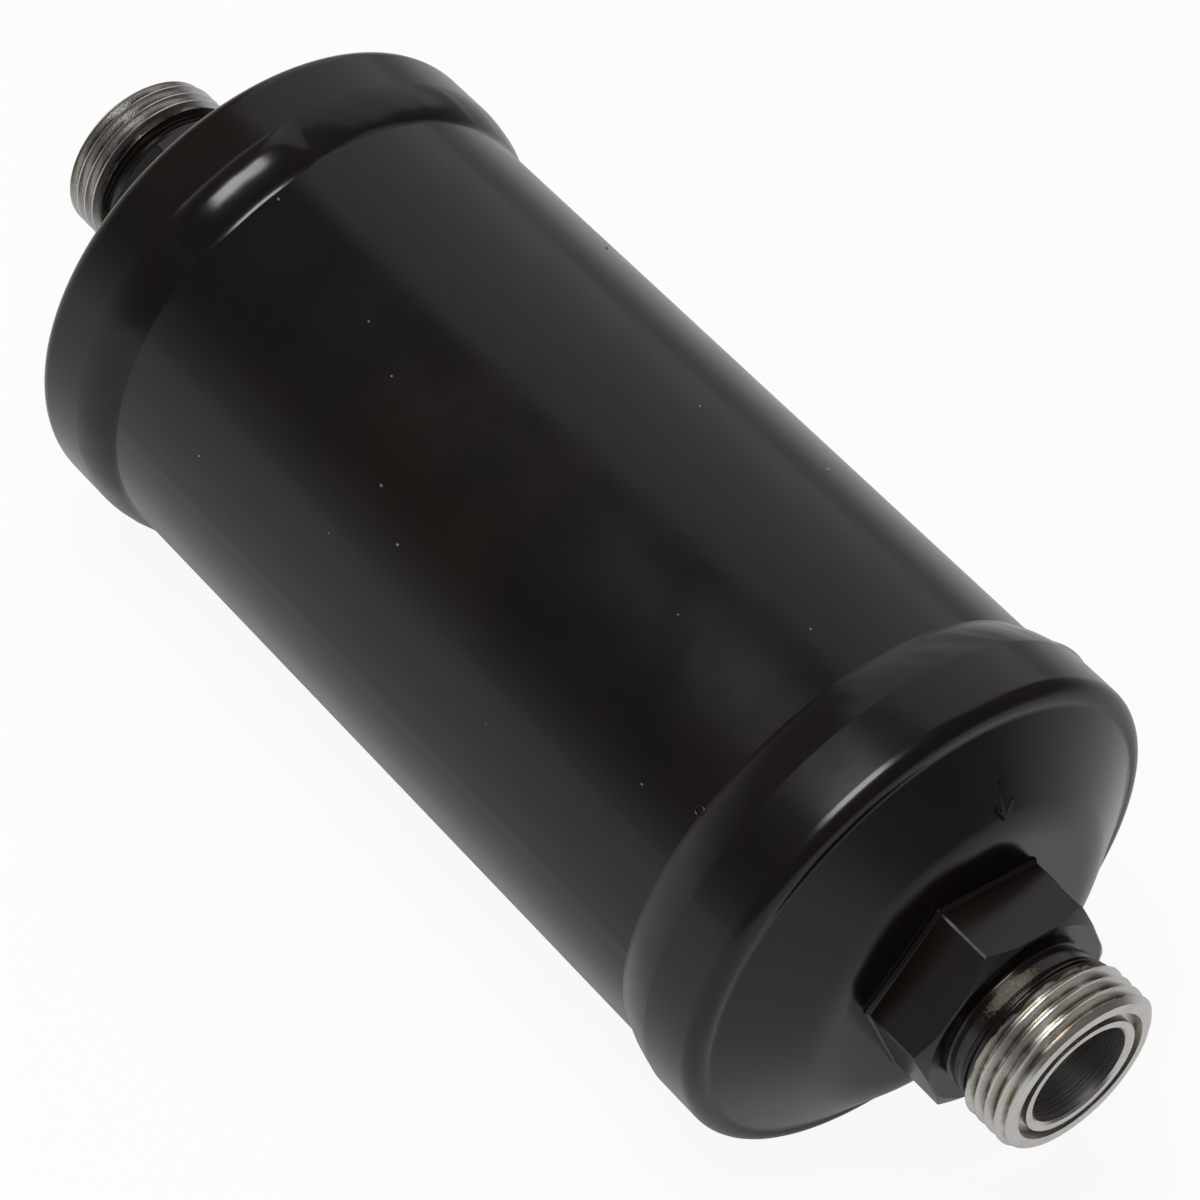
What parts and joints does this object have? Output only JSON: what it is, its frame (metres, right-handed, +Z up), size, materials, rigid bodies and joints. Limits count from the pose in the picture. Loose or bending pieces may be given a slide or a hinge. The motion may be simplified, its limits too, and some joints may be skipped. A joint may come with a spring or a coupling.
{
  "type": "filter drier",
  "caption": "In-line filter drier: black steel cylinder with drawn heads, a hexagonal threaded face-seal fitting at each end, and a spring-loaded desiccant bed sealed inside.",
  "frame": {"origin": "centre of the shell on its axis, half-way between the two sealing faces", "axes": "+X along the flow from inlet to outlet, +Z up, square to one pair of flats of each hexagon"},
  "size_m": [0.2012, 0.0766, 0.0766],
  "materials": {
    "shell_paint": "semi-gloss black paint",
    "head_paint": "semi-gloss black paint",
    "weld_paint": "black paint over an uneven weld bead",
    "fitting_steel": "machined steel, bare at the thread and face, painted black at the hexagon",
    "braze_paint": "black paint over braze metal",
    "plate_steel": "pressed plate",
    "spring_steel": "drawn wire",
    "mesh_steel": "woven wire cloth",
    "fibre": "matted fibre",
    "desiccant": "packed beads"
  },
  "bodies": {
    "root": {"shell_tube": "shell_paint", "inlet_head": "head_paint", "outlet_head": "head_paint", "inlet_seam_weld": "weld_paint", "outlet_seam_weld": "weld_paint", "inlet_fitting": "fitting_steel", "outlet_fitting": "fitting_steel", "inlet_braze_ring": "braze_paint", "outlet_braze_ring": "braze_paint", "spring_retainer": "plate_steel", "compression_spring": "spring_steel", "pressure_plate": "plate_steel", "inlet_mesh_screen": "mesh_steel", "inlet_fibre_pad": "fibre", "desiccant_bed": "desiccant", "outlet_fibre_pad": "fibre", "outlet_mesh_screen": "mesh_steel", "outlet_support_plate": "plate_steel"}
  },
  "joints": []
}
